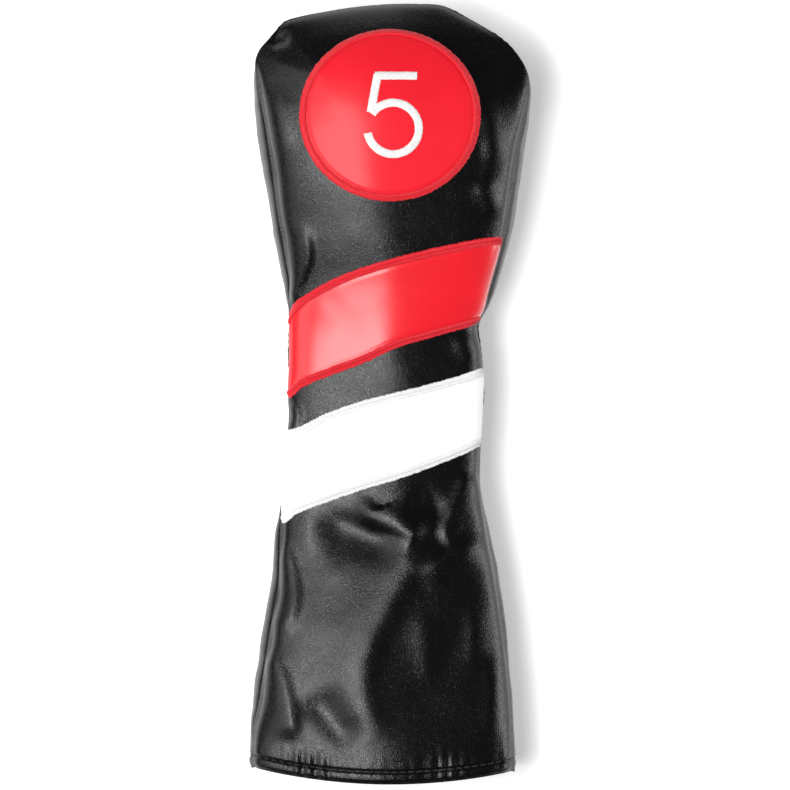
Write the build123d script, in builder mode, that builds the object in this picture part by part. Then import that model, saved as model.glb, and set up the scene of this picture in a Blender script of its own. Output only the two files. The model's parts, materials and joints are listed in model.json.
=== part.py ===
"""Head cover for a fairway wood, lying on its back.

A boxed sock: a front panel and a back panel of synthetic leather are joined by one long
gusset that runs up one side, over the crown and down the other. Every panel is backed by
foam and a pile lining. Frame: +Y runs from the mouth to the crown, +Z out of the front
panel, +X to the right of somebody who looks at the front with the crown uppermost.
The origin is on the table, under the middle of the cover's box.
"""

from build123d import *

import os
from math import cos, pi, radians, sin

# ---------------------------------------------------------------- driving sizes, in mm
length = 330.0  # mouth to crown
head_width = 118.0
head_depth = 58.0
neck_width = 82.0
neck_depth = 38.0
neck_lift = 4.0  # the waist is drawn up off the table
hem_lift = 1.6  # room for the stitches under the hem
mouth_width = 113.0
mouth_depth = 46.0
crown_width = 40.0  # flat top of the crown
crown_depth = 28.0
head_lean = 0.9  # middle of the head, to the right of the origin
neck_lean = -2.9  # middle of the neck and of the mouth

leather = 1.1
foam = 3.0
pile = 2.0
layer_gap = 0.15  # clearance between two layers
seam_gap = 0.9  # groove between two panels
thread = 0.6

hem_depth = 12.0  # leather turned in at the mouth
hem_stitch_inset = 5.5  # stitch row above the mouth's edge
stitch_pitch = 3.5
stitch_length = 2.6

patch_diameter = 75.0
patch_centre_from_crown = 47.0
applique = 0.8  # thickness of the patch and the stripes
border_width = 3.3
border_rise = 0.5  # satin stitch over the edge of the applique
figure_height = 35.5
figure_stroke = 3.4
figure_bar = 17.5
figure_bar_left = -6.65  # from the middle of the patch
figure_stem_foot = (-8.25, -0.4)
figure_bowl_shift = 1.3
figure_bowl_radius = 10.7  # to the middle of the stroke
figure_bowl_start = 146  # degrees
figure_bowl_sweep = -316
figure_rise = 0.6

stripe_width = 32.0
stripe_slope = 19.5  # degrees
red_stripe_height = 197.5  # middle of the stripe on the axis, above the mouth
stripe_spacing = 49.0  # from the red stripe's middle to the white one's, square to both

elastic_width = 25.0
elastic_thickness = 1.2
elastic_height = 165.0  # middle of the band above the mouth
elastic_stitch_inset = 3.0  # stitch rows inside the band's edges

# ---------------------------------------------------------------- the form of the cover
widest_share = 0.45  # height of the widest line, as a share of the depth
upper_power = 2.4
lower_power = 3.2
front_seam_share = 0.70
back_seam_share = 0.26
points_round = 24
overrun = 6.0  # cutting bodies run this far past the mouth and the crown
table_sink = 0.4  # the underside is pressed flat by this much

mouth_y = -length / 2
crown_y = length / 2
neck_y = mouth_y + elastic_height
patch_y = crown_y - patch_centre_from_crown
reach = 2 * (head_width + mouth_width)  # longer than anything it cuts


def between(low, high, share):
    """A value part of the way from low to high."""
    return low + (high - low) * share


class Station:
    """One cross-section of the cover, square to its length."""

    def __init__(self, y, width, under, top, centre, slant=0.0):
        self.y = y
        self.width = width
        self.under = under
        self.top = top
        self.centre = centre
        self.slant = slant  # how far the surface there leans towards the crown's end

    def inset(self, amount):
        """The same section on a surface that lies deeper in the wall."""
        sideways = amount * (1 - self.slant**2) ** 0.5
        return Station(
            self.y - amount * self.slant,
            self.width - 2 * sideways,
            self.under + sideways,
            self.top - sideways,
            self.centre,
        )

    def height(self, share):
        """The height at a share of the depth."""
        return between(self.under, self.top, share)

    def outline_points(self):
        """Points of a squarish oval, rounder above its widest line than below it."""
        widest = self.height(widest_share)
        points = []
        for step in range(points_round):
            angle = 2 * pi * step / points_round
            power = upper_power if sin(angle) >= 0 else lower_power
            rise = self.top - widest if sin(angle) >= 0 else widest - self.under
            along = abs(cos(angle)) ** (2 / power) * (1 if cos(angle) >= 0 else -1)
            up = abs(sin(angle)) ** (2 / power) * (1 if sin(angle) >= 0 else -1)
            points.append((self.centre + along * self.width / 2, widest + up * rise))
        return points


def skirt_station(share_up, spread, lift):
    """A section between the mouth and the neck; spread is 1 at the mouth, 0 at the neck."""
    return Station(
        between(mouth_y, neck_y, share_up),
        between(neck_width, mouth_width, spread),
        lift - table_sink,
        between(neck_lift + neck_depth, mouth_depth, spread),
        neck_lean,
    )


def shoulder_station(share_up, spread):
    """A section between the neck and the patch; spread is 0 at the neck, 1 at the head."""
    return Station(
        between(neck_y, patch_y, share_up),
        between(neck_width, head_width, spread),
        between(neck_lift, 0, spread) - table_sink,
        between(neck_lift + neck_depth, head_depth, spread),
        between(neck_lean, head_lean, spread),
    )


def crown_station(share_up, closing, slant):
    """A section between the patch and the crown; closing is 1 at the crown's flat top."""
    crown_under = between(0, head_depth, back_seam_share)
    return Station(
        between(patch_y, crown_y, share_up),
        between(head_width, crown_width, closing),
        between(-table_sink, crown_under, closing),
        between(head_depth, crown_under + crown_depth, closing),
        head_lean,
        slant,
    )


mouth_stations = [
    skirt_station(-overrun / elastic_height, 1.0, hem_lift),
    skirt_station(0.0, 1.0, hem_lift),
    skirt_station(hem_stitch_inset / elastic_height, 1.0, hem_lift),
]
stations = mouth_stations + [
    skirt_station(0.27, 0.86, 0.0),
    skirt_station(0.50, 0.50, 0.35 * neck_lift),
    skirt_station(0.72, 0.16, 0.80 * neck_lift),
    skirt_station(0.90, 0.0, neck_lift),
    shoulder_station(0.14, 0.0),
    shoulder_station(0.36, 0.22),
    shoulder_station(0.58, 0.58),
    shoulder_station(0.80, 0.86),
    shoulder_station(1.00, 1.0),
    crown_station(0.36, 0.02, 0.15),
    crown_station(0.62, 0.13, 0.40),
    crown_station(0.82, 0.36, 0.65),
    crown_station(0.94, 0.66, 0.88),
    crown_station(1.00, 1.0, 1.0),
]


def body(inset, mouth_inset=None):
    """The closed form at a depth in the wall; at the mouth the depth may be another."""
    with BuildPart() as form:
        for station in stations:
            depth = inset
            if station in mouth_stations and mouth_inset is not None:
                depth = mouth_inset
            section = station.inset(depth)
            with BuildSketch(Plane.XZ.offset(-section.y)):
                with BuildLine():
                    Spline(*section.outline_points(), periodic=True)
                make_face()
        loft()
    return form.part


def slab(low_y, high_y):
    """Everything above the table between two heights along the cover."""
    with BuildPart() as space:
        with BuildSketch(Plane.XY):
            with Locations((0, (low_y + high_y) / 2)):
                Rectangle(reach, high_y - low_y)
        extrude(amount=reach)
    return space.part


def band(low_share, low_shift, high_share, high_shift):
    """Everything between two lines in side view, each a share of the depth up and moved."""
    low_points = [(s.y, s.height(low_share) + low_shift) for s in stations]
    high_points = [(s.y, s.height(high_share) + high_shift) for s in stations]
    low_corner = (crown_y + overrun, low_points[-1][1])
    high_corner = (crown_y + overrun, high_points[-1][1])
    with BuildPart() as space:
        with BuildSketch(Plane.YZ):
            with BuildLine():
                low = Spline(*low_points)
                high = Spline(*high_points)
                Line(low @ 0, high @ 0)
                Polyline(low @ 1, low_corner, high_corner, high @ 1)
            make_face()
        extrude(amount=reach, both=True)
    return space.part


def wall(outer, inner, start_y=mouth_y, end_y=crown_y + overrun):
    """One layer of the cover between two closed forms, cut square at its ends."""
    with BuildPart() as layer:
        add(outer)
        add(inner, mode=Mode.SUBTRACT)
        add(slab(start_y, end_y), mode=Mode.INTERSECT)
    return layer.part


def cut(layer, *spaces):
    """What is left of a layer inside all of the spaces."""
    with BuildPart() as piece:
        add(layer)
        for space in spaces:
            add(space, mode=Mode.INTERSECT)
    return piece.part


def disc_column(radius, hole=0.0):
    """Everything above a disc, or a ring, about the patch's middle."""
    with BuildPart() as column:
        with BuildSketch(Plane.XY):
            with Locations((0, patch_y)):
                Circle(radius)
                if hole:
                    Circle(hole, mode=Mode.SUBTRACT)
        extrude(amount=reach)
    return column.part


def stripe_column(middle_y, shift, width):
    """Everything above a slanting strip whose middle is moved square to itself by shift."""
    slope = radians(stripe_slope)
    along_stripe = Plane((0, middle_y, 0), x_dir=(cos(slope), sin(slope), 0), z_dir=(0, 0, 1))
    with BuildPart() as column:
        with BuildSketch(along_stripe):
            with Locations((0, shift)):
                Rectangle(reach, width)
        extrude(amount=reach)
    return column.part


def figure_column():
    """Everything above a five, drawn with one stroke: a bar, a stem and a bowl."""
    bar_y = (figure_height - figure_stroke) / 2
    stem_top = (figure_bar_left + figure_stroke / 2, bar_y)
    bowl_middle = (figure_bowl_shift, figure_bowl_radius - bar_y)
    with BuildPart() as column:
        with BuildSketch(Plane((0, patch_y, 0))):
            with BuildLine():
                Line((figure_bar_left, bar_y), (figure_bar_left + figure_bar, bar_y))
            trace(line_width=figure_stroke)
            with BuildLine():
                Line(stem_top, figure_stem_foot)
            trace(line_width=figure_stroke)
            with BuildLine():
                CenterArc(bowl_middle, figure_bowl_radius, figure_bowl_start, figure_bowl_sweep)
            trace(line_width=figure_stroke)
        extrude(amount=reach)
    return column.part


# ---------------------------------------------------------------- depths in the wall
hem_end_y = mouth_y + hem_depth
hem_inner = 2 * leather  # the turned-in edge doubles the leather
foam_outer = leather + layer_gap
foam_inner = foam_outer + foam
lining_outer = foam_inner + layer_gap
lining_inner = lining_outer + pile
lining_outer_at_mouth = hem_inner + layer_gap

outer_form = body(0)
leather_form = body(leather)
hem_form = body(hem_inner)

# Spaces for the three panels, and for the thread in the two seams
front = band(front_seam_share, seam_gap / 2, 1, reach)
middle = band(back_seam_share, seam_gap / 2, front_seam_share, -seam_gap / 2)
back = band(0, -reach, back_seam_share, -seam_gap / 2)
front_seam = band(front_seam_share, -thread / 2, front_seam_share, thread / 2)
back_seam = band(back_seam_share, -thread / 2, back_seam_share, thread / 2)

os.makedirs("parts", exist_ok=True)

# ---------------------------------------------------------------- leather shell
with BuildPart() as leather_layer:
    add(wall(outer_form, hem_form))
    add(wall(leather_form, hem_form, hem_end_y), mode=Mode.SUBTRACT)

with BuildPart() as front_panel:
    add(leather_layer.part)
    add(front, mode=Mode.INTERSECT)
front_panel.part.label = "front_panel"
export_step(front_panel.part, "parts/front_panel.step")

with BuildPart() as side_gusset:
    add(leather_layer.part)
    add(middle, mode=Mode.INTERSECT)
side_gusset.part.label = "side_gusset"
export_step(side_gusset.part, "parts/side_gusset.step")

with BuildPart() as back_panel:
    add(leather_layer.part)
    add(back, mode=Mode.INTERSECT)
back_panel.part.label = "back_panel"
export_step(back_panel.part, "parts/back_panel.step")

# ---------------------------------------------------------------- foam behind the leather
elastic_low_y = neck_y - elastic_width / 2
elastic_high_y = neck_y + elastic_width / 2
foam_layer = wall(body(foam_outer), body(foam_inner, hem_inner), hem_end_y + layer_gap)

with BuildPart() as front_padding:
    add(foam_layer)
    add(front, mode=Mode.INTERSECT)
front_padding.part.label = "front_padding"
export_step(front_padding.part, "parts/front_padding.step")

with BuildPart() as gusset_padding:
    add(foam_layer)
    add(middle, mode=Mode.INTERSECT)
gusset_padding.part.label = "gusset_padding"
export_step(gusset_padding.part, "parts/gusset_padding.step")

with BuildPart() as back_head_padding:
    add(foam_layer)
    add(back, mode=Mode.INTERSECT)
    add(slab(elastic_high_y + layer_gap, crown_y), mode=Mode.INTERSECT)
back_head_padding.part.label = "back_head_padding"
export_step(back_head_padding.part, "parts/back_head_padding.step")

with BuildPart() as back_skirt_padding:
    add(foam_layer)
    add(back, mode=Mode.INTERSECT)
    add(slab(mouth_y, elastic_low_y - layer_gap), mode=Mode.INTERSECT)
back_skirt_padding.part.label = "back_skirt_padding"
export_step(back_skirt_padding.part, "parts/back_skirt_padding.step")

# ---------------------------------------------------------------- pile lining
lining_layer = wall(
    body(lining_outer, lining_outer_at_mouth),
    body(lining_inner, lining_outer_at_mouth + pile),
    mouth_y + hem_stitch_inset / 2,
)

with BuildPart() as front_lining:
    add(lining_layer)
    add(front, mode=Mode.INTERSECT)
front_lining.part.label = "front_lining"
export_step(front_lining.part, "parts/front_lining.step")

with BuildPart() as gusset_lining:
    add(lining_layer)
    add(middle, mode=Mode.INTERSECT)
gusset_lining.part.label = "gusset_lining"
export_step(gusset_lining.part, "parts/gusset_lining.step")

with BuildPart() as back_lining:
    add(lining_layer)
    add(back, mode=Mode.INTERSECT)
back_lining.part.label = "back_lining"
export_step(back_lining.part, "parts/back_lining.step")

# ---------------------------------------------------------------- elastic behind the neck
with BuildPart() as neck_elastic:
    add(wall(body(foam_outer), body(foam_outer + elastic_thickness), elastic_low_y, elastic_high_y))
    add(back, mode=Mode.INTERSECT)
neck_elastic.part.label = "neck_elastic"
export_step(neck_elastic.part, "parts/neck_elastic.step")

# ---------------------------------------------------------------- appliques on the front
# Each layer lies on the one below it: leather, applique, then satin stitch or figure.
applique_form = body(-layer_gap)
applique_top_form = body(-layer_gap - applique)
stitch_form = body(-2 * layer_gap - applique)
border_top_form = body(-2 * layer_gap - applique - border_rise)
figure_top_form = body(-2 * layer_gap - applique - figure_rise)
applique_layer = cut(wall(applique_top_form, applique_form), front)
border_layer = cut(wall(border_top_form, applique_form), front)
under_border = wall(stitch_form, outer_form)

patch_radius = (patch_diameter - border_width) / 2  # the border straddles this edge

with BuildPart() as number_patch:
    add(applique_layer)
    add(disc_column(patch_radius), mode=Mode.INTERSECT)
number_patch.part.label = "number_patch"
export_step(number_patch.part, "parts/number_patch.step")

with BuildPart() as number_patch_border:
    add(border_layer)
    add(
        disc_column(patch_radius + border_width / 2, patch_radius - border_width / 2),
        mode=Mode.INTERSECT,
    )
    add(cut(under_border, disc_column(patch_radius + layer_gap)), mode=Mode.SUBTRACT)
number_patch_border.part.label = "number_patch_border"
export_step(number_patch_border.part, "parts/number_patch_border.step")

with BuildPart() as number_five:
    add(wall(figure_top_form, stitch_form))
    add(figure_column(), mode=Mode.INTERSECT)
number_five.part.label = "number_five"
export_step(number_five.part, "parts/number_five.step")

stripe_body_width = stripe_width - border_width
red_y = mouth_y + red_stripe_height
white_y = red_y - stripe_spacing / cos(radians(stripe_slope))
stripe_heights = {"red": red_y, "white": white_y}
border_shifts = {"top": stripe_body_width / 2, "bottom": -stripe_body_width / 2}

for colour, stripe_y in stripe_heights.items():
    with BuildPart() as stripe:
        add(applique_layer)
        add(stripe_column(stripe_y, 0, stripe_body_width), mode=Mode.INTERSECT)
    stripe.part.label = f"{colour}_stripe"
    export_step(stripe.part, f"parts/{colour}_stripe.step")

    stripe_room = cut(under_border, stripe_column(stripe_y, 0, stripe_body_width + 2 * layer_gap))
    for side, shift in border_shifts.items():
        with BuildPart() as border:
            add(border_layer)
            add(stripe_column(stripe_y, shift, border_width), mode=Mode.INTERSECT)
            add(stripe_room, mode=Mode.SUBTRACT)
        border.part.label = f"{colour}_stripe_{side}_border"
        export_step(border.part, f"parts/{colour}_stripe_{side}_border.step")

# ---------------------------------------------------------------- thread
thread_layer = wall(body(layer_gap), body(layer_gap + thread))

with BuildPart() as front_seam_thread:
    add(thread_layer)
    add(front_seam, mode=Mode.INTERSECT)
front_seam_thread.part.label = "front_seam_thread"
export_step(front_seam_thread.part, "parts/front_seam_thread.step")

with BuildPart() as back_seam_thread:
    add(thread_layer)
    add(back_seam, mode=Mode.INTERSECT)
back_seam_thread.part.label = "back_seam_thread"
export_step(back_seam_thread.part, "parts/back_seam_thread.step")


def stitch_planes(row_y):
    """Planes square to a row of stitches, evenly spaced round the cover at one height."""
    slice_there = section(outer_form, section_by=Plane.XZ.offset(-row_y)).faces()[0]
    outline = slice_there.outer_wire()
    middle_there = slice_there.center()
    clear = thread / 2 + layer_gap
    count = round(outline.length / stitch_pitch)
    planes = []
    for number in range(count):
        run = outline.tangent_at((number + 0.5) / count)
        spot = outline.position_at((number + 0.5) / count)
        out = run.cross(Vector(0, 1, 0)).normalized()
        if out.dot(spot - middle_there) < 0:
            out = -out
        planes.append(Plane(spot + out * clear, z_dir=run))
    return planes


with BuildPart() as hem_stitches:
    with Locations(*stitch_planes(mouth_y + hem_stitch_inset)):
        Cylinder(thread / 2, stitch_length)
hem_stitches.part.label = "hem_stitches"
export_step(hem_stitches.part, "parts/hem_stitches.step")

row_shift = elastic_width / 2 - elastic_stitch_inset
top_stitch_z = between(neck_lift, neck_lift + neck_depth, back_seam_share) - stitch_length
with BuildPart() as elastic_stitches:
    for row_y in (neck_y - row_shift, neck_y + row_shift):
        planes_round = stitch_planes(row_y)
        on_back = [plane for plane in planes_round if plane.origin.Z < top_stitch_z]
        with Locations(*on_back):
            Cylinder(thread / 2, stitch_length)
elastic_stitches.part.label = "elastic_stitches"
export_step(elastic_stitches.part, "parts/elastic_stitches.step")
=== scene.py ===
# %% [markdown]
# # A head cover for a fairway wood, lying on its back
# The cover is a boxed sock of black synthetic leather: a front panel, a back panel, and one
# long gusset between them that runs up one side, over the crown and down the other. Foam and
# a pile lining are behind the leather. A patch with a numeral and two slanting stripes are
# sewn on the front with satin stitch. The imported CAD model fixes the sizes. Every soft piece
# is modelled again here, in the same place, with its main folds and its stitching.

# %% Load the frame
import json
import math

import bpy
import numpy as np
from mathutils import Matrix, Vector
from mathutils.kdtree import KDTree

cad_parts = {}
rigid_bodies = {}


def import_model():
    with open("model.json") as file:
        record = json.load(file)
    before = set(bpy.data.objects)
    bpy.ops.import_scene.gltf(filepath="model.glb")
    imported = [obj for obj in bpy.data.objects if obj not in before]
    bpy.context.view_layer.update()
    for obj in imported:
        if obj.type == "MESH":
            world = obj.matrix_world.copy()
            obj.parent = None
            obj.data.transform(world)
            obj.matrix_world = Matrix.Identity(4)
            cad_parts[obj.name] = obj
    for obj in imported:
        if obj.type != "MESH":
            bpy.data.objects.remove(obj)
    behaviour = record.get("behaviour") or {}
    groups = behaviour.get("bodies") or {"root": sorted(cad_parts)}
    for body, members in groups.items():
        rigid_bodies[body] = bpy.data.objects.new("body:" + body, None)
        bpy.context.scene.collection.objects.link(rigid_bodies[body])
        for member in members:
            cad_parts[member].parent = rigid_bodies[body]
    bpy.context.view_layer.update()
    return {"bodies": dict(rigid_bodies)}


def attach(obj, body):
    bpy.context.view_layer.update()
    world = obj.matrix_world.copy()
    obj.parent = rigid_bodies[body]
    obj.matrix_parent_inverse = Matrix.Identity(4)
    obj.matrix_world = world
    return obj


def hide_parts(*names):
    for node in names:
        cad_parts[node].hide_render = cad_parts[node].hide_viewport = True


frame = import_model()
body = next(iter(frame["bodies"]))
metres = 0.001  # this script works in millimetres, and Blender in metres

# %% [markdown]
# ## Curves through a few points
# A sewn cover has no straight lines, but each of its lines is simple: the edge of a panel in
# plan, or the height of a seam along the cover. Each line could be a Bezier curve that is
# drawn by hand in the viewport. Here it is a list of a few places and the value at each, with
# a smooth curve through them, because the same line then shapes the leather, the foam behind
# it and the thread in its seam.


# %% Smooth curves
def smooth_through(*points):
    """A function of one place that passes smoothly through the points, flat beyond them."""
    places, values = np.array(points, float).T
    steps = np.diff(places)
    slopes = np.diff(values) / steps
    tangents = np.zeros(len(places))
    for i in range(1, len(places) - 1):
        if slopes[i - 1] * slopes[i] > 0:
            before = 2 * steps[i] + steps[i - 1]
            after = steps[i] + 2 * steps[i - 1]
            tangents[i] = (before + after) / (before / slopes[i - 1] + after / slopes[i])

    def value_at(place):
        place = np.clip(place, places[0], places[-1])
        i = np.clip(np.searchsorted(places, place) - 1, 0, len(steps) - 1)
        t = (place - places[i]) / steps[i]
        rise = values[i] * (2 * t**3 - 3 * t**2 + 1) + values[i + 1] * (3 * t**2 - 2 * t**3)
        lean = tangents[i] * (t**3 - 2 * t**2 + t) + tangents[i + 1] * (t**3 - t**2)
        return rise + lean * steps[i]

    return value_at


def eased(share):
    """A share from 0 to 1 that starts and ends gently."""
    return share**2 * (3 - 2 * share)


def along(line):
    """How far along a line each of its points is."""
    return np.concatenate([[0], np.cumsum(np.linalg.norm(np.diff(line, axis=0), axis=1))])


def spaced(line, count):
    """The same line as evenly spaced points."""
    length = along(line)
    even = np.linspace(0, length[-1], count)
    return np.stack([np.interp(even, length, line[:, k]) for k in range(line.shape[1])], axis=1)


def curve_through(points, count):
    """Evenly spaced points on a smooth curve through the given ones."""
    points = np.asarray(points, float)
    padded = np.vstack([2 * points[0] - points[1], points, 2 * points[-1] - points[-2]])
    pieces = []
    for a, b, c, d in zip(padded, padded[1:], padded[2:], padded[3:]):
        t = np.linspace(0, 1, 24, endpoint=False)[:, None]
        bend = (2 * a - 5 * b + 4 * c - d) * t**2 + (3 * b - a - 3 * c + d) * t**3
        pieces.append((2 * b + (c - a) * t + bend) / 2)
    return spaced(np.vstack(pieces + [points[-1:]]), count)


def blurred(values, steps, rounds=3):
    """Values evened out along their first axis, with the ends held."""
    kernel = np.ones(2 * steps + 1) / (2 * steps + 1)
    for _ in range(rounds):
        padded = np.concatenate([np.repeat(values[:1], steps, 0), values, np.repeat(values[-1:], steps, 0)])
        flat = padded.reshape(len(padded), -1)
        smooth = np.stack([np.convolve(column, kernel, "valid") for column in flat.T], axis=1)
        values = smooth.reshape(values.shape)
    return values


# %% [markdown]
# ## The outline and the two long seams
# Seen from the front, the cover is wide at the head, drawn in at the neck and wide again at
# the mouth. Its outline is the bulge of the gusset. The front seam shows just inside the
# outline where the gusset stands out, and meets it where the gusset is pulled under. The
# outline is one curve from the left of the mouth, over the crown, to the right of the mouth,
# and each seam is that curve moved inwards, so the pieces can't come apart.

# %% Outline and seams in plan
outline_points = [
    (-59.2, -157.0), (-59.0, -146.0), (-58.0, -129.0), (-55.9, -112.0), (-53.4, -95.0), (-50.2, -79.0),
    (-49.0, -62.0), (-46.9, -46.0), (-44.8, -31.0), (-43.9, -15.0), (-43.2, 1.0), (-42.7, 20.0),
    (-43.4, 37.0), (-46.8, 56.0), (-51.2, 80.0), (-55.3, 105.0), (-57.5, 126.0), (-57.5, 138.0),
    (-55.4, 145.0), (-50.4, 151.0), (-45.0, 157.2), (-38.5, 159.6), (-27.0, 161.8), (-14.0, 163.8),
    (0.0, 164.9), (12.0, 165.0), (22.0, 164.3), (30.5, 160.4), (40.1, 154.9), (49.0, 148.8),
    (55.0, 141.8), (58.7, 133.8), (59.5, 124.0), (57.6, 109.0), (54.6, 88.0), (50.9, 66.0),
    (45.4, 47.0), (41.6, 37.0), (37.6, 28.5), (38.6, 18.0), (39.5, 8.0), (39.0, -8.0),
    (38.4, -24.0), (38.4, -38.0), (41.4, -53.0), (45.0, -71.0), (48.3, -92.0), (50.6, -115.0),
    (52.2, -134.0), (53.3, -158.5),
]
perimeter_count = 861
outline = curve_through(outline_points, perimeter_count)
outline_run = np.gradient(outline, axis=0)
outward = np.stack([-outline_run[:, 1], outline_run[:, 0]], axis=1)
outward = blurred(outward / np.linalg.norm(outward, axis=1)[:, None], 4)
outward /= np.linalg.norm(outward, axis=1)[:, None]

left_inset = smooth_through(
    (-160, 0.6), (-141, 0.9), (-127, 2.9), (-104, 3.4), (-88, 3.6), (-75, 3.0), (-62, 2.6), (-50, 1.2),
    (-36, 0.1), (-20, 0.1), (-10, 1.0), (0, 0.1), (30, 0.1), (38, 0.5), (48, 3.0), (74, 3.0), (90, 3.8),
    (106, 4.0), (122, 3.0), (134, 1.4), (142, 0.1),
)
right_inset = smooth_through(
    (-160, 0.6), (-60, 0.8), (-40, 0.3), (20, 0.1), (34, 0.8), (48, 2.2), (66, 2.6), (100, 3.0),
    (114, 1.8), (126, 0.9), (136, 0.1),
)
left_tuck = smooth_through(
    (-60, 0.0), (-44, 1.6), (-22, 2.0), (-10, 1.2), (2, 2.0), (30, 1.8), (44, 0.0), (134, 0.0), (146, 1.8),
)
right_tuck = smooth_through((-56, 0.2), (-40, 1.5), (20, 1.8), (34, 0.8), (46, 0.0), (128, 0.0), (142, 1.8))
on_left = outline[:, 0] < 0
front_inset = blurred(np.where(on_left, left_inset(outline[:, 1]), right_inset(outline[:, 1])), 3)
tuck = blurred(np.where(on_left, left_tuck(outline[:, 1]), right_tuck(outline[:, 1])), 3)
back_inset = 2.8
front_seam_plan = outline - outward * front_inset[:, None]
back_seam_plan = outline - outward * (back_inset + tuck)[:, None]
print("perimeter", round(along(outline)[-1]), "mm")

# %% [markdown]
# ## Heights
# The camera looks down on the cover, so heights show only as light on the slopes. They are
# the CAD model's: the head is 58 mm deep, the neck 38 mm and the mouth 46 mm, the two seams
# run at 70 and 26 per cent of that, and the crown closes to a blunt end.

# %% Heights along the cover
top_height = smooth_through(
    (-165, 46.0), (-150, 46.6), (-120, 46.8), (-80, 45.5), (-40, 43.2), (0, 42.2), (20, 42.6), (45, 46.5),
    (70, 52.0), (95, 56.4), (118, 58.0), (135, 57.4), (150, 55.0), (165, 51.0),
)
front_seam_height = smooth_through(
    (-165, 32.3), (-120, 32.0), (-40, 30.8), (0, 30.6), (30, 31.6), (60, 36.2), (100, 40.2), (122, 40.6),
    (142, 39.2), (155, 37.0), (165, 35.4),
)
back_seam_height = smooth_through(
    (-165, 12.8), (-100, 12.4), (-40, 13.4), (0, 13.9), (40, 14.2), (100, 15.0), (130, 15.6), (150, 18.4),
    (165, 21.6),
)
underside_height = smooth_through(
    (-165, 1.3), (-150, 0.6), (-138, 0.0), (-96, 0.0), (-60, 1.5), (-30, 3.6), (0, 4.0), (30, 3.4),
    (62, 0.6), (80, 0.0), (165, 0.0),
)


def nearest_point(line, place):
    """The number of the line's point that is nearest to a place."""
    return int(np.argmin(np.linalg.norm(line - place, axis=1)))


crown_corner_left = nearest_point(outline, (-50.4, 151.0))
crown_corner_right = nearest_point(outline, (49.0, 148.8))
front_seam = np.column_stack([front_seam_plan, front_seam_height(front_seam_plan[:, 1])])
back_seam = np.column_stack([back_seam_plan, back_seam_height(back_seam_plan[:, 1])])
print("corners of the crown at", crown_corner_left, crown_corner_right)

# %% [markdown]
# ## A panel as a sheet of points
# A panel could be modelled by pushing a subdivided plane about. A regular sheet of points is
# easier to steer by numbers: rows run across the cover and columns run up it, and the four
# edges are the two seams, the crown and the mouth. The rows between come from a Coons patch,
# which blends the four edges. Later pieces find their place on the leather from this sheet.


# %% Sheets
def crowded(count, first=1.6, last=1.6, reach=0.02):
    """Shares from 0 to 1 that lie closer together near both ends."""
    fine = np.linspace(0, 1, 4001)
    density = 1 + first * np.exp(-fine / reach) + last * np.exp(-(1 - fine) / reach)
    filled = np.concatenate([[0], np.cumsum((density[1:] + density[:-1]) / 2)])
    return np.interp(np.linspace(0, filled[-1], count), filled, fine)


def coons(left, right, low, high, across, up):
    """Points between four edges, at shares across and up."""
    def pick(line, shares):
        length = along(line) / along(line)[-1]
        return np.stack([np.interp(shares, length, line[:, k]) for k in range(2)], axis=1)

    s = across[None, :, None]
    t = up[:, None, None]
    sides = (1 - s) * pick(left, up)[:, None] + s * pick(right, up)[:, None]
    ends = (1 - t) * pick(low, across)[None] + t * pick(high, across)[None]
    corners = (1 - t) * ((1 - s) * low[0] + s * low[-1]) + t * ((1 - s) * high[0] + s * high[-1])
    return sides + ends - corners


class Neighbours:
    """Places in plan that can be asked which of them is nearest."""

    def __init__(self, places):
        self.tree = KDTree(len(places))
        for number, (px, py) in enumerate(places):
            self.tree.insert((px, py, 0), number)
        self.tree.balance()

    def ask(self, x, y, which):
        found = [self.tree.find((px, py, 0))[which] for px, py in zip(x.ravel(), y.ravel())]
        return np.array(found).reshape(x.shape)

    def numbers(self, x, y):
        return self.ask(x, y, 1)

    def distances(self, x, y):
        return self.ask(x, y, 2)


def nearness(line, spacing=0.15):
    """A function that tells how far places in plan are from a line."""
    return Neighbours(spaced(line, int(along(line)[-1] / spacing))).distances


def normals_of(sheet):
    """The direction square to a sheet at each of its points."""
    square = np.cross(np.gradient(sheet, axis=1), np.gradient(sheet, axis=0))
    return square / np.maximum(np.linalg.norm(square, axis=2), 1e-9)[..., None]


def panel_plan(seam, mouth_drop, columns, rows):
    """A panel's points in plan, inside its seam."""
    left = seam[: crown_corner_left + 1]
    high = seam[crown_corner_left : crown_corner_right + 1]
    right = seam[crown_corner_right:][::-1]
    share = np.linspace(0, 1, 81)
    low = left[0] + (right[0] - left[0]) * share[:, None]
    low[:, 1] -= mouth_drop * (1 - np.abs(2 * share - 1) ** 2)
    return coons(left, right, low, high, crowded(columns), crowded(rows))


def roof_section(offset, ridge=0.22, edge=0.5):
    """Across the front: two sloping flanks, a rounded ridge between them, and a soft edge."""
    slope = 1 - (np.sqrt(offset**2 + ridge**2) - ridge) / (math.sqrt(1 + ridge**2) - ridge)
    return (1 - edge) * slope + edge * (1 - offset**8) ** 0.6


def flat_section(offset):
    """Across the back: flat where it lies on the table, round at its edges."""
    return (1 - offset**4) ** 0.62


below_mouth = np.array([[0.0, -14.0]])  # the side seams run on past the mouth, or its corners would dip
past_corner = 12  # and the crown's seam runs on round its corners by this many points


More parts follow.
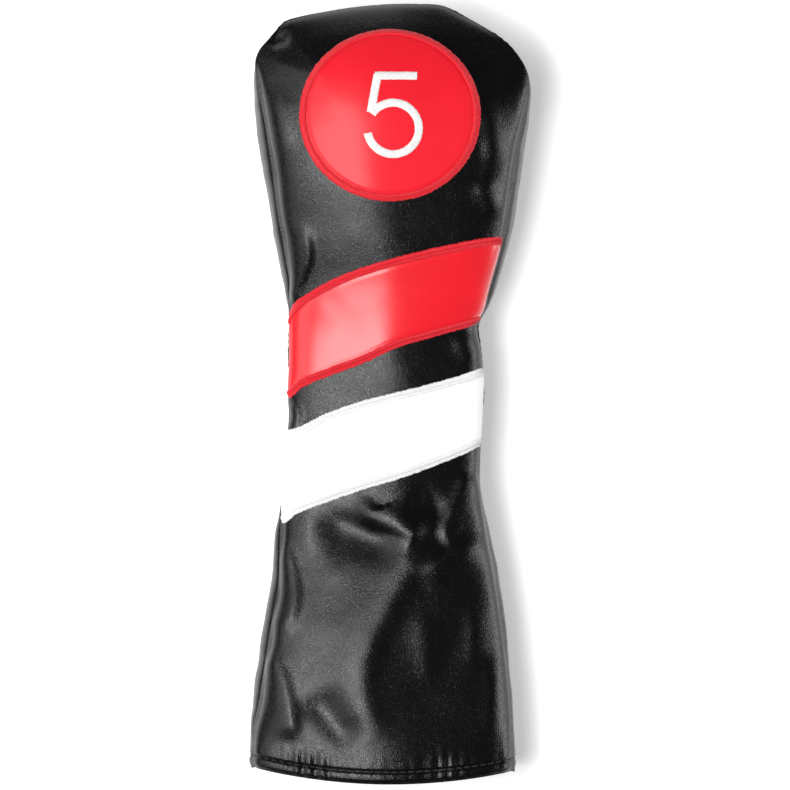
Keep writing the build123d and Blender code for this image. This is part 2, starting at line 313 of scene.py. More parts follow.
class Panel:
    """The height of a panel over its plan: it rises from the seam and closes at the crown."""

    def __init__(self, seam, seam_height, crest_height, section, crown_reach, lean):
        self.to_left = nearness(np.vstack([seam[0] + below_mouth, seam[: crown_corner_left + 1]]))
        self.to_crown = nearness(seam[crown_corner_left - past_corner : crown_corner_right + past_corner + 1])
        self.to_right = nearness(np.vstack([seam[crown_corner_right:], seam[-1] + below_mouth]))
        self.lean = lean
        self.seam_height = seam_height
        self.crest_height = crest_height
        self.section = section
        self.crown_reach = crown_reach

    def height(self, x, y):
        to_left = self.to_left(x, y)
        to_right = self.to_right(x, y)
        offset = (to_right - to_left) / (to_right + to_left)
        offset = np.abs(offset + self.lean(y) * (1 - offset**2))
        across = self.section(np.minimum(offset, 1))
        short = 1 - np.minimum(self.to_crown(x, y) / self.crown_reach, 1)
        up = (1 - short**2.4) ** 0.72
        seam = self.seam_height(y)
        return seam + (self.crest_height(y) - seam) * across * up

    def square(self, x, y):
        """The direction square to the panel, pointing up."""
        step = 0.5
        by_x = (self.height(x + step, y) - self.height(x - step, y)) / (2 * step)
        by_y = (self.height(x, y + step) - self.height(x, y - step)) / (2 * step)
        square = np.dstack([-by_x, -by_y, np.ones(x.shape)])
        return square / np.linalg.norm(square, axis=2)[..., None]


columns, rows = 131, 341
front_plan = panel_plan(front_seam_plan, 6.0, columns, rows)
crest_lean = smooth_through(
    (-150, 0.0), (-134, -0.13), (-120, -0.17), (-103, -0.12), (-92, -0.02), (-78, 0.13), (-64, 0.24),
    (-30, 0.16), (0, 0.13), (40, 0.08), (70, -0.1), (100, -0.14), (165, -0.13),
)
front_panel = Panel(
    front_seam_plan, front_seam_height, top_height, roof_section, crown_reach=52.0, lean=crest_lean
)
x, y = front_plan[..., 0], front_plan[..., 1]
front_form = np.dstack([front_plan, front_panel.height(x, y)])
front_square = front_panel.square(x, y)

back_plan = panel_plan(back_seam_plan, 4.6, columns, rows)
level = smooth_through((-165, 0.0), (165, 0.0))
back_panel = Panel(
    back_seam_plan, back_seam_height, underside_height, flat_section, crown_reach=34.0, lean=level
)
bx, by = back_plan[..., 0], back_plan[..., 1]
back_form = np.dstack([back_plan, back_panel.height(bx, by)])
back_square = -back_panel.square(bx, by)


def to_seam(panel, x, y):
    """How far places on a panel are from the seam round it."""
    return np.minimum(np.minimum(panel.to_left(x, y), panel.to_right(x, y)), panel.to_crown(x, y))


front_edge = to_seam(front_panel, x, y)
back_edge = to_seam(back_panel, bx, by)

gusset_rows = 33
w = np.linspace(0, 1, gusset_rows)[None, :, None]
bulge = np.column_stack([outline - outward * tuck[:, None], (front_seam[:, 2] + back_seam[:, 2]) / 2])
gusset_form = (
    front_seam[:, None] * (1 - w) * (1 - 2 * w)
    + bulge[:, None] * 4 * w * (1 - w)
    + back_seam[:, None] * w * (2 * w - 1)
)
print("front", front_form.shape, "back", back_form.shape, "gusset", gusset_form.shape)

# %% [markdown]
# ## Folds
# Leather over foam doesn't crumple like cloth. It bends into a few soft rolls, with a tight
# crease only where a roll is pinched at a seam. A cloth simulation makes such rolls, but not
# where they are wanted. So each roll is drawn as a line in plan with a height and a width on
# each side of it: a roll with a narrow side has a crease there. Negative heights are valleys.


# %% Drawing folds
def side_and_distance(line, x, y):
    """For each place, the distance to a line, signed by side, and the share along it."""
    best = np.full(x.shape, np.inf)
    signed = np.zeros(x.shape)
    share = np.zeros(x.shape)
    length = along(line)
    for i in range(len(line) - 1):
        run = line[i + 1] - line[i]
        gap_x = x - line[i, 0]
        gap_y = y - line[i, 1]
        t = np.clip((gap_x * run[0] + gap_y * run[1]) / (run @ run), 0, 1)
        gap = np.hypot(gap_x - t * run[0], gap_y - t * run[1])
        side = np.sign(gap_x * run[1] - gap_y * run[0])
        closer = gap < best
        best = np.where(closer, gap, best)
        signed = np.where(closer, gap * side, signed)
        share = np.where(closer, length[i] + t * (length[i + 1] - length[i]), share)
    return signed, share / length[-1]


def fold(x, y, points, height, left, right, fade=(0.35, 0.35)):
    """Height of a roll along a line, with its own width to the left and right of the line."""
    signed, share = side_and_distance(curve_through(points, 8 * len(points)), x, y)
    width = np.where(signed > 0, right, left)
    rise_in = eased(np.clip(share / fade[0], 0, 1))
    fall_out = eased(np.clip((1 - share) / fade[1], 0, 1))
    return height * (rise_in * fall_out) * np.exp(-((signed / width) ** 2))


def soft_noise(x, y, spacing, seed):
    """Smooth random heights between -1 and 1, with bumps about one spacing apart."""
    size = 64  # the grid repeats after this many bumps
    grid = np.random.default_rng(seed).uniform(-1, 1, (size, size))
    ix = np.floor(x / spacing).astype(int)
    iy = np.floor(y / spacing).astype(int)
    tx = eased(x / spacing - ix)
    ty = eased(y / spacing - iy)
    low = grid[iy % size, ix % size] * (1 - tx) + grid[iy % size, (ix + 1) % size] * tx
    high = grid[(iy + 1) % size, ix % size] * (1 - tx) + grid[(iy + 1) % size, (ix + 1) % size] * tx
    return low * (1 - ty) + high * ty


# %% [markdown]
# The folds of the front are the dip at the crown's left corner, the rolls beside the patch,
# the pinched roll above the red stripe, two low bulges at the neck, and the rolls of the skirt
# below it. Most are low and wide, because steep narrow rolls show as hard double outlines.

# %% Folds of the front panel
front_folds = [
    # the crown's left corner
    dict(points=[(-52, 146), (-47, 149.5), (-41, 150)], height=-1.0, left=3.5, right=3.0),
    # left of the patch: a roll beside the seam
    dict(points=[(-47, 132), (-46.5, 124), (-45.5, 112), (-44, 98)], height=1.0, left=4.5, right=6.0),
    # right of the patch: two rolls and a valley
    dict(points=[(37, 128), (41, 118), (43, 106), (42, 93)], height=1.1, left=5.5, right=4.5),
    dict(points=[(36.5, 94), (41, 83), (46.5, 73)], height=1.3, left=6.0, right=4.5),
    dict(points=[(36, 110), (37, 98), (34, 84)], height=-0.8, left=4.5, right=6.0),
    # the pinched roll that runs down to the red stripe's left end
    dict(points=[(-40, 73), (-35.8, 66.5), (-34.6, 59), (-36.6, 51.5), (-39.8, 44.5), (-42.6, 38)],
         height=1.4, left=2.6, right=8.5, fade=(0.3, 0.15)),
    # the neck's two bulges, left and right
    dict(points=[(-41, -2), (-39, -9), (-42, -17)], height=1.2, left=2.0, right=4.0, fade=(0.25, 0.2)),
    dict(points=[(28, 27), (33, 18), (38, 12)], height=1.0, left=5.0, right=4.0),
    # under the white stripe: a curved roll, a valley on each side of it, and the long roll that
    # goes on to the mouth
    dict(points=[(-7.5, -42), (-9.2, -48), (-5.9, -52.5), (3.3, -55.5), (11, -58.4), (15, -62)], height=2.3,
         left=7.5, right=5.0, fade=(0.3, 0.2)),
    dict(points=[(-35, -53), (-22, -55.5), (-8, -58.5), (3, -61), (9, -62)], height=-2.6, left=7.0,
         right=10.0),
    dict(points=[(6, -44), (15, -47), (24, -44)], height=-1.0, left=7.5, right=7.5),
    dict(points=[(14.5, -59), (13, -66), (4.2, -78), (-3, -91.7), (-8.5, -103.5), (-11.4, -120), (-9.3, -134),
                 (-2, -150)], height=1.3, left=6.5, right=12.0, fade=(0.15, 0.2)),
    # the pinched crease at the skirt's right, and the soft roll that leaves its foot
    dict(points=[(35, -31), (30, -41), (25.5, -50), (23.6, -56.7), (25.8, -62), (29, -67)], height=1.5,
         left=9.0, right=3.2, fade=(0.2, 0.3)),
    dict(points=[(41, -60), (28, -66.5), (20, -71.5), (11, -80)], height=1.9, left=7.5, right=4.5),
    # low rolls that run down towards the mouth
    dict(points=[(13, -88), (15, -106), (17, -126)], height=0.9, left=5.5, right=5.5, fade=(0.4, 0.4)),
    dict(points=[(33, -84), (36, -99), (34, -118)], height=0.9, left=6.0, right=4.5, fade=(0.4, 0.4)),
    dict(points=[(44, -104), (43.5, -128), (42, -150)], height=0.9, left=4.5, right=4.5),
    # the two rolls beside the skirt's left seam, steep where they meet the flat of the skirt,
    # and the valley at their foot
    dict(points=[(-46, -59), (-42.3, -72), (-40.6, -84), (-42.2, -93), (-46.5, -99), (-51, -103.5)],
         height=1.6, left=3.4, right=8.0, fade=(0.25, 0.2)),
    dict(points=[(-52, -106), (-47.2, -116), (-44, -126), (-41.8, -137), (-41, -147)], height=1.4, left=3.6,
         right=8.0, fade=(0.2, 0.2)),
    dict(points=[(-37, -124), (-25, -136), (-14, -150)], height=-2.0, left=7.5, right=6.5),
]
front_height = sum(fold(x, y, **one) for one in front_folds)
calm = np.exp(-(((y - 118) / 40.0) ** 4)) * 0.6  # the leather is smoother round the patch
front_height += (1 - calm) * (0.3 * soft_noise(x, y, 19.0, 3) + 0.07 * soft_noise(x, y, 7.5, 4))
print("folds", len(front_folds), "from", front_height.min().round(1), "to", front_height.max().round(1))

# %% [markdown]
# ## Seams, hem and gathers
# A seam pulls the leather in, so both panels roll over into a narrow groove. The hem is a
# folded edge with a row of stitches that pull small puckers into it. Behind the neck a band
# of elastic gathers the back panel into pleats.

# %% Seams, hem and gathers
seam_roll = 1.5  # how wide the roll beside a seam is
seam_depth = 1.5  # how far it dips
hem_line = 5.2  # how far the stitches are above the mouth's edge
stitch_groove = 0.8  # how far a row of stitches sinks the leather
hem_groove_width = 0.6
pucker_pitch = 5.2
pucker_height = 0.42
pucker_reach = 5.5
lip_depth = 1.1  # how far the leather rounds off at the mouth


def groove_depth(inset):
    """How far the front seam dips: hardly at all where the seam is tucked under."""
    return 0.25 + 1.25 * np.clip(inset / 1.6, 0, 1)


def rolled_edge(distance, depth=seam_depth):
    """How far the leather dips near a seam."""
    return -depth * np.exp(-((distance / seam_roll) ** 1.5))


def above_mouth(form):
    """How far each point of a sheet is above its own mouth edge."""
    return np.cumsum(
        np.concatenate([np.zeros((1, form.shape[1])), np.linalg.norm(np.diff(form, axis=0), axis=2)]), axis=0
    )


def hem_relief(up, round_the_mouth, strength):
    """The stitched groove of the hem, and the puckers on both sides of it."""
    groove = -stitch_groove * np.exp(-(((up - hem_line) / hem_groove_width) ** 2))
    waver = 2.0 * soft_noise(round_the_mouth, up * 0, 9.0, 8)
    ripple = np.sin(2 * math.pi * round_the_mouth / pucker_pitch + waver)
    reach_up = np.exp(-(((up - hem_line) / pucker_reach) ** 2))
    lip = -lip_depth * np.exp(-((up / lip_depth) ** 1.6))
    return groove + pucker_height * strength * ripple * reach_up + lip


up_front = above_mouth(front_form)
pucker = np.clip(0.35 + 0.8 * soft_noise(x, 0 * x, 12.0, 11) + (np.abs(x + 3) > 22) * 0.5, 0.1, 1.2)
inset_here = np.where(x < 0, left_inset(y), right_inset(y))
front_height += hem_relief(up_front, x, pucker)
front_height += rolled_edge(front_edge, groove_depth(inset_here))

up_back = above_mouth(back_form)
pleat_window = np.exp(-((by / 19.0) ** 4))
pleat_pitch = 6.2
pleat_waver = 1.6 * soft_noise(bx, by, 15.0, 21)
pleats = pleat_window * (
    0.85 * np.sin(2 * math.pi * bx / pleat_pitch + pleat_waver) + 0.4 * soft_noise(bx, by, 4.0, 22)
)
row_shift = 9.5  # the elastic's two rows of stitches are this far from the middle of the neck
rows_sewn = np.exp(-(((by - row_shift) / 1.0) ** 2)) + np.exp(-(((by + row_shift) / 1.0) ** 2))
back_height = pleats - stitch_groove * rows_sewn + rolled_edge(back_edge) + 0.3 * soft_noise(bx, by, 14.0, 23)
back_height += hem_relief(up_back, bx, np.full(bx.shape, 0.6))
back_sheet = back_form + back_square * back_height[..., None]
print("mouth to crown", up_front.max().round(), "mm over the front")

# %% Folds of the gusset
places = along(outline)[:, None] + np.zeros((1, gusset_rows))
across = np.linspace(0, 1, gusset_rows)[None] + np.zeros((perimeter_count, 1))
gusset_width = np.linalg.norm(np.diff(gusset_form, axis=1), axis=2).sum(1)[:, None]
gusset_edge = np.minimum(across, 1 - across) * gusset_width
neck_near = np.exp(-((gusset_form[..., 1] / 26.0) ** 2))
gusset_depth = np.where(across < 0.5, groove_depth(front_inset)[:, None], seam_depth)
gusset_height = (
    rolled_edge(gusset_edge, gusset_depth)
    + (0.35 + 0.9 * neck_near) * soft_noise(places, across * 9, 9.0, 31)
    + (0.1 + 0.25 * neck_near) * soft_noise(places, across * 16, 3.6, 32)
)
up_gusset = np.minimum(places, along(outline)[-1] - places)
gusset_height += hem_relief(up_gusset, across * gusset_width, np.full(across.shape, 0.5))
gusset_square = normals_of(gusset_form)
gusset_square *= np.sign((gusset_square[:, gusset_rows // 2, :2] * outward).sum(1).mean())
print("gusset is", gusset_width.min().round(), "to", gusset_width.max().round(), "mm wide")

# %% [markdown]
# ## Finding a place on the leather
# Stitches, stripes and the patch all lie on the folded leather. Shrinkwrap would press each
# one onto it, and round off its edges. Here each sheet can be asked two things instead: which
# row and column of the sheet is over a place in plan, and where the point is that stands a
# given height above that row and column. Foam and lining use the same question with a depth.


# %% A sheet that can be asked for places
class Sheet:
    """The smooth form of a panel and the height of its folds."""

    def __init__(self, form, square, height):
        self.fields = np.dstack([form, square, height])
        self.last_row = form.shape[0] - 1
        self.last_column = form.shape[1] - 1
        self.neighbours = None

    def sample(self, row, column):
        row = np.clip(row, 0, self.last_row - 1e-6)
        column = np.clip(column, 0, self.last_column - 1e-6)
        i = row.astype(int)
        j = column.astype(int)
        t = (row - i)[..., None]
        s = (column - j)[..., None]
        low = self.fields[i, j] * (1 - s) + self.fields[i, j + 1] * s
        high = self.fields[i + 1, j] * (1 - s) + self.fields[i + 1, j + 1] * s
        return low * (1 - t) + high * t

    def at(self, row, column, lift=0.0):
        """The point that stands lift above the leather."""
        found = self.sample(np.asarray(row, float), np.asarray(column, float))
        return found[..., :3] + found[..., 3:6] * (found[..., 6] + lift)[..., None]

    def layer(self, lift, row_range=slice(None), column_range=slice(None)):
        """The whole sheet, or a part of it, moved out or in."""
        fields = self.fields[row_range, column_range]
        lift = np.broadcast_to(lift, self.fields.shape[:2])[row_range, column_range]
        return fields[..., :3] + fields[..., 3:6] * (fields[..., 6] + lift)[..., None]

    def find(self, x, y):
        """The fractional row and column that lie over places in plan."""
        step = 3  # the first guess is the nearest of every third point
        if self.neighbours is None:
            plan = self.layer(0.0)[::step, ::step, :2]
            self.neighbours = Neighbours(plan.reshape(-1, 2))
            self.coarse = plan.shape[1]
        numbers = self.neighbours.numbers(x, y)
        row = numbers // self.coarse * float(step)
        column = numbers % self.coarse * float(step)
        for _ in range(8):
            here = self.at(row, column)
            by_row = self.at(row + 0.5, column) - self.at(row - 0.5, column)
            by_column = self.at(row, column + 0.5) - self.at(row, column - 0.5)
            miss_x = x - here[..., 0]
            miss_y = y - here[..., 1]
            area = by_row[..., 0] * by_column[..., 1] - by_row[..., 1] * by_column[..., 0]
            area = np.where(np.abs(area) < 0.05, 0.05 * np.sign(area - 1e-9), area)
            step_row = (miss_x * by_column[..., 1] - miss_y * by_column[..., 0]) / area
            step_column = (miss_y * by_row[..., 0] - miss_x * by_row[..., 1]) / area
            row = np.clip(row + np.clip(step_row, -3, 3), 0.5, self.last_row - 0.5)
            column = np.clip(column + np.clip(step_column, -3, 3), 0.5, self.last_column - 0.5)
        return row, column


front = Sheet(front_form, front_square, front_height)
back = Sheet(back_form, back_square, back_height)
gusset = Sheet(gusset_form, gusset_square, gusset_height)
check_row, check_column = front.find(np.array([0.0, 20.0]), np.array([118.0, -40.0]))
print("found", front.at(check_row, check_column).round(2).tolist())

# %% [markdown]
# ## Solid pieces from two sheets
# The Solidify modifier would give a sheet its thickness, but not a thickness that changes, as
# at the doubled hem. A solid is made here from two sheets of the same size, the outside and
# the inside, with a strip of faces round their edges that closes it.


# %% Making meshes
def new_piece(name, vertices, faces, smooth_angle=55):
    """A smooth-shaded object made from points in millimetres."""
    mesh = bpy.data.meshes.new(name)
    mesh.from_pydata((np.asarray(vertices) * metres).tolist(), [], faces)
    mesh.validate()
    mesh.shade_smooth()
    mesh.set_sharp_from_angle(angle=math.radians(smooth_angle))
    piece = bpy.data.objects.new(name, mesh)
    bpy.context.scene.collection.objects.link(piece)
    return piece


def shell(name, outside, inside, smooth_angle=55):
    """A closed solid between two sheets of points."""
    down, over = outside.shape[:2]
    number = np.arange(down * over).reshape(down, over)
    a, b = number[:-1, :-1].ravel(), number[:-1, 1:].ravel()
    c, d = number[1:, 1:].ravel(), number[1:, :-1].ravel()
    middle = outside[down // 2, over // 2] - inside[down // 2, over // 2]
    square = normals_of(outside)[down // 2, over // 2]
    ring = np.concatenate([number[0, :-1], number[:-1, -1], number[-1, :0:-1], number[:0:-1, 0]])
    after = np.roll(ring, -1)
    far = down * over
    top = np.stack([a, b, c, d], axis=1)
    under = np.stack([d, c, b, a], axis=1) + far
    wall = np.stack([ring, ring + far, after + far, after], axis=1)
    faces = np.concatenate([top, under, wall])
    if middle @ square < 0:
        faces = faces[:, ::-1]
    vertices = np.concatenate([outside.reshape(-1, 3), inside.reshape(-1, 3)])
    return new_piece(name, vertices, faces.tolist(), smooth_angle)


def rods(name, lines, squares, radii, sides=8):
    """Closed rods along short lines of points. The radii say how thick each is along itself."""
    count, rings = lines.shape[:2]
    run = np.gradient(lines, axis=1)
    run /= np.linalg.norm(run, axis=2)[..., None]
    sideways = np.cross(run, squares)
    sideways /= np.linalg.norm(sideways, axis=2)[..., None]
    upright = np.cross(sideways, run)
    angle = np.linspace(0, 2 * math.pi, sides, endpoint=False)
    spokes = (
        sideways[:, :, None] * np.cos(angle)[None, None, :, None]
        + upright[:, :, None] * np.sin(angle)[None, None, :, None]
    )
    points = lines[:, :, None] + spokes * radii[None, :, None, None]
    start = np.arange(count)[:, None, None] * rings * sides
    ring = np.arange(rings - 1)[None, :, None] * sides
    side = np.arange(sides)[None, None, :]
    after = (side + 1) % sides
    low = start + ring
    quads = np.stack([low + side, low + after, low + sides + after, low + sides + side], axis=-1)
    tube = rings * sides
    firsts = range(0, count * tube, tube)
    caps = [list(range(first, first + sides)) for first in firsts]
    ends = [list(range(first + tube - 1, first + tube - sides - 1, -1)) for first in firsts]
    faces = quads.reshape(-1, 4)[:, ::-1].tolist() + caps + ends
    return new_piece(name, points.reshape(-1, 3), faces, 80)


pieces = {}

# %% [markdown]
# ## The leather
# Each panel is 1.1 mm thick. At the mouth the leather is turned in by 12 mm, so there it is
# twice as thick.

# %% The three leather panels
leather = 1.1
hem_depth = 12.0


def leather_depth(up):
    """How thick the leather is at a distance above the mouth."""
    turned_in = 1 / (1 + np.exp((up - hem_depth) / 0.5))
    return leather * (1 + turned_in)


pieces["front_leather"] = shell("front_leather", front.layer(0.0), front.layer(-leather_depth(up_front)))
pieces["back_leather"] = shell("back_leather", back.layer(0.0), back.layer(-leather_depth(up_back)))
pieces["gusset_leather"] = shell("gusset_leather", gusset.layer(0.0), gusset.layer(-leather_depth(up_gusset)))
for name in ("front_leather", "back_leather", "gusset_leather"):
    print(name, len(pieces[name].data.polygons), "faces")

# %% [markdown]
# ## Foam, lining and elastic
# Foam fills the panels above the hem. It stops short of the seams, and by more at the crown,
# where its corners would come through the gusset. The pile lining starts just inside the
# mouth, under the hem, and steps back over the foam. All of it can only be seen by looking
# into the mouth, so a coarser sheet is enough.

# %% Foam
foam = 3.0
pile = 2.0
gap = 0.15
above_hem = 14.0


def first_above(up, height):
    """The first row that is everywhere above a height from the mouth."""
    return int(np.argmax(up.min(axis=1) > height))


def lining_depth(up):
    """How deep the lining lies: under the hem first, then behind the foam."""
    behind_foam = 1 / (1 + np.exp(-(up - above_hem) / 1.2))
    return 2 * leather + gap + (leather + foam + 2 * gap - 2 * leather - gap) * behind_foam + 0.1


def padding(name, sheet, row_range, column_range):
    """A foam pad behind a part of a panel."""
    outer = sheet.layer(-leather - gap, row_range, column_range)
    inner = sheet.layer(-leather - gap - foam, row_range, column_range)
    pieces[name] = shell(name, outer, inner)


def lining(name, sheet, up, row_range, column_range):
    """A pile lining behind a panel, with a soft uneven face."""
    outer = sheet.layer(-lining_depth(up), row_range, column_range)
    loose = sheet.layer(0.0)
    slanting_up = loose[..., 1] * 1.3 + loose[..., 0]
    slanting_over = loose[..., 0] * 1.3 + loose[..., 2]
    tufts = 0.25 * soft_noise(slanting_up, slanting_over, 1.9, 41)
    inner = sheet.layer(-lining_depth(up) - pile + tufts, row_range, column_range)
    pieces[name] = shell(name, outer, inner, 80)


elastic_half = 12.5
mid_column = columns // 2
below_elastic = int(np.argmax(back_sheet[:, mid_column, 1] > -elastic_half - 1))
above_elastic = int(np.argmax(back_sheet[:, mid_column, 1] > elastic_half + 1))
inside_columns = slice(6, columns - 6, 2)
under_crown = rows - 13
front_start = first_above(up_front, above_hem + 2)
back_start = first_above(up_back, above_hem + 2)
padding("front_foam", front, slice(front_start, under_crown, 2), inside_columns)
padding("back_skirt_foam", back, slice(back_start, below_elastic, 2), inside_columns)
padding("back_head_foam", back, slice(above_elastic, under_crown, 2), inside_columns)
gusset_start = int(np.argmax(up_gusset[:, 0] > above_hem + 2))
gusset_places = slice(gusset_start, perimeter_count - gusset_start, 3)
padding("gusset_foam", gusset, gusset_places, slice(4, gusset_rows - 4, 2))
print("foam behind", front_start, back_start, below_elastic, above_elastic)

# %% Lining and elastic
lip = 2.6  # how far the lining starts inside the mouth
elastic = 1.2  # how thick the band is
front_lip = first_above(up_front, lip)
back_lip = first_above(up_back, lip)
gusset_lip = int(np.argmax(up_gusset[:, 0] > lip))
lining("front_pile", front, up_front, slice(front_lip, under_crown, 2), slice(3, columns - 3, 2))
lining("back_pile", back, up_back, slice(back_lip, under_crown, 2), slice(3, columns - 3, 2))
gusset_places = slice(gusset_lip, perimeter_count - gusset_lip, 2)
lining("gusset_pile", gusset, up_gusset, gusset_places, slice(3, gusset_rows - 3))

band_rows = slice(below_elastic + 1, above_elastic - 1)
rib = 0.12 * np.sin(2 * math.pi * back_sheet[..., 1] / 1.6)
pieces["elastic_band"] = shell(
    "elastic_band",
    back.layer(-leather - gap + np.minimum(rib, 0), band_rows, slice(3, columns - 3)),
    back.layer(-leather - gap - elastic + rib, band_rows, slice(3, columns - 3)),
)
print("inside pieces", sorted(pieces))

# %% [markdown]
# ## Patch and stripes
# Each is cut from thin leather and sewn on the front. The patch is a disc, and the stripes
# run slanting from seam to seam. Their rims are pressed down a little where the satin stitch
# holds them.

# %% The round patch
applique = 0.8
satin_width = 3.3
patch_radius = 37.5
patch_centre = (0.0, 117.6)
patch_stretch = (1.02, 0.97)  # the patch is a little wider than tall over the round crown


def pressed(distance, line):
    """How far the applique is pressed down beside a row of satin stitch."""
    return 0.3 * np.exp(-(((distance - line) / 0.7) ** 2))


sole = 0.02  # how far what is sewn on stands off the leather
spokes = np.linspace(0, 2 * math.pi, 181)
inner_radii = np.linspace(0.4, patch_radius - 6, 26)
rim_radii = np.linspace(patch_radius - 5.4, patch_radius - 1.4, 9)  # closer together, to press the rim down
radii = np.concatenate([inner_radii, rim_radii])
disc_x = patch_centre[0] + patch_stretch[0] * radii[:, None] * np.cos(spokes)[None]
disc_y = patch_centre[1] + patch_stretch[1] * radii[:, None] * np.sin(spokes)[None]
disc_row, disc_column = front.find(disc_x, disc_y)
disc_lift = applique - pressed(radii, patch_radius - satin_width - 0.1)[:, None] + 0 * disc_x


def disc(name, sheet_row, sheet_column, top_lift, foot_lift):
    """A closed disc made from rings of points, the smallest ring first."""
    rings, around = sheet_row.shape
    around -= 1
    top = front.at(sheet_row, sheet_column, top_lift)[:, :-1]
    foot = front.at(sheet_row, sheet_column, foot_lift)[:, :-1]
    number = np.arange(rings * around).reshape(rings, around)
    after = np.roll(number, -1, axis=1)
    far = rings * around
    a, b, c, d = number[:-1], number[1:], after[1:], after[:-1]
    upper = np.stack([a, b, c, d], axis=-1).reshape(-1, 4)
    lower = np.stack([d, c, b, a], axis=-1).reshape(-1, 4) + far
    wall = np.stack([number[-1], number[-1] + far, after[-1] + far, after[-1]], axis=-1)
    caps = [number[0].tolist(), (number[0][::-1] + far).tolist()]
    faces = np.concatenate([upper, lower, wall]).tolist() + caps
    return new_piece(name, np.concatenate([top.reshape(-1, 3), foot.reshape(-1, 3)]), faces)


pieces["patch"] = disc("patch", disc_row, disc_column, disc_lift, np.full(disc_x.shape, sole))
print("patch", len(pieces["patch"].data.polygons), "faces")

# %% The two stripes
red_top = smooth_through(
    (-43.2, 28.6), (-41.8, 33.0), (-39.8, 36.8), (-33.2, 41.8), (-18.8, 49.2), (-4.3, 54.2), (10.2, 58.1),
    (24.7, 61.4), (46.3, 64.9),
)
red_bottom = smooth_through(
    (-43.5, 0.0), (-37.6, 4.6), (-26.0, 9.6), (-11.5, 15.0), (3.0, 21.6), (17.4, 25.8), (31.9, 29.9),
    (40.6, 32.5),
)
white_top = smooth_through(
    (-43.5, -16.3), (-26.0, -9.2), (-11.5, -4.1), (3.0, -0.5), (17.4, 3.1), (31.9, 7.2), (39.1, 9.6)
)
white_bottom = smooth_through(
    (-45.5, -52.6), (-40.5, -49.0), (-26.0, -43.2), (-11.5, -38.2), (3.0, -33.8), (17.4, -28.7),
    (31.9, -22.9), (38.4, -20.1),
)


def rows_on(line, across):
    """The fractional row where a slanting line crosses each column of the front."""
    found = np.zeros(len(across))
    every_row = np.arange(front.last_row + 1, dtype=float)
    for k, column in enumerate(across):
        points = front.at(every_row, np.full(len(every_row), column))
        over = points[:, 1] - line(points[:, 0])
        i = int(np.argmax(over > 0))
        found[k] = i - over[i] / (over[i] - over[i - 1])
    return found


def stripe(name, top, bottom):
    """A strip of thin leather across the front, between two slanting lines."""
    across = np.linspace(1.0, front.last_column - 1.0, 170)
    high = rows_on(top, across)
    low = rows_on(bottom, across)
    share = crowded(41, 2.0, 2.0, 0.05)[:, None]
    row = low[None] * (1 - share) + high[None] * share
    column = np.broadcast_to(across[None], row.shape)
    point = front.at(row, column)
    edge = np.cumsum(np.linalg.norm(np.diff(point, axis=0, prepend=point[:1]), axis=2), axis=0)
    edge = np.minimum(edge, edge[-1:] - edge)
    lift = applique - pressed(edge, satin_width / 2 + 0.1)
    pieces[name] = shell(name, front.at(row, column, lift), front.at(row, column, np.full(row.shape, sole)))


stripe("red_band", red_top, red_bottom)
stripe("white_band", white_top, white_bottom)
print("red stripe", len(pieces["red_band"].data.polygons), "faces")

# %% [markdown]
# ## Satin stitch
# Satin stitch is a row of threads laid side by side across a line. It could be painted on as
# bump, but its edge would be too clean. So it is a strip with a rounded section, a ridge for
# each thread, and ends that vary from thread to thread.


# %% Satin stitch
thread_pitch = 0.5
points_a_thread = 4
satin_rise = 0.55


def satin(name, path, width, on_applique, closed=False, seed=0, ragged=0.12):
    """Satin stitch along a path in plan. The applique may be on the path's left, or all under it."""
    row, column = front.find(path[:, 0], path[:, 1])
    line = front.at(row, column)
    count = int(along(line)[-1] / thread_pitch * points_a_thread)
    line = spaced(line, count)
    run = np.gradient(line, axis=0)
    if closed:
        run[0] = run[-1] = line[1] - line[-2]
    row, column = front.find(line[:, 0], line[:, 1])
    square = front.sample(row, column)[:, 3:6]
    side = np.cross(square, run)
    side /= np.linalg.norm(side, axis=1)[:, None]
    draws = np.random.default_rng(seed)
    thread = np.arange(count) / points_a_thread
    threads = int(thread[-1]) + 2
    ends = draws.uniform(1 - ragged, 1 + ragged, (2, threads))
    thickness = draws.uniform(0.8, 1.15, threads)
    number = thread.astype(int)
    u = np.linspace(-1, 1, 13)[None]
    reach = np.where(u > 0, ends[0][number][:, None], ends[1][number][:, None]) * width / 2
    lean = 0.12 * width * draws.uniform(-0.4, 0.4, threads)[number][:, None] * u
    along_run = run / np.linalg.norm(run, axis=1)[:, None]
    x = line[:, :1] + side[:, :1] * u * reach + along_run[:, :1] * lean
    y = line[:, 1:2] + side[:, 1:2] * u * reach + along_run[:, 1:2] * lean
    row, column = front.find(x, y)
    ridge = 0.78 + 0.22 * np.cos(2 * math.pi * (thread - 0.5))[:, None] * thickness[number][:, None]
    round_section = (1 - np.abs(u) ** 2.6) ** 0.8
    on = 1.0 if on_applique == "all" else eased(np.clip(0.5 + u / 0.7, 0, 1))
    foot = applique * on + 0.03 + 0 * x
    top = foot + satin_rise * round_section * ridge + 0.02
    pieces[name] = shell(name, front.at(row, column, top), front.at(row, column, foot), 80)
    return count


turn = np.linspace(0, 2 * math.pi, 361)
ring_radius = patch_radius - satin_width / 2
ring = ring_radius * np.stack([np.cos(turn), np.sin(turn)], axis=1) * patch_stretch + patch_centre
ring_points = satin("patch_rim", ring, satin_width, "left", closed=True, seed=51)
print("ring threads", ring_points // points_a_thread)


def line_across(line, reverse=False):
    """A slanting line from seam to seam, as points in plan."""
    across = np.linspace(0.8, front.last_column - 0.8, 160)
    points = front.at(rows_on(line, across), across)[:, :2]
    return points[::-1] if reverse else points


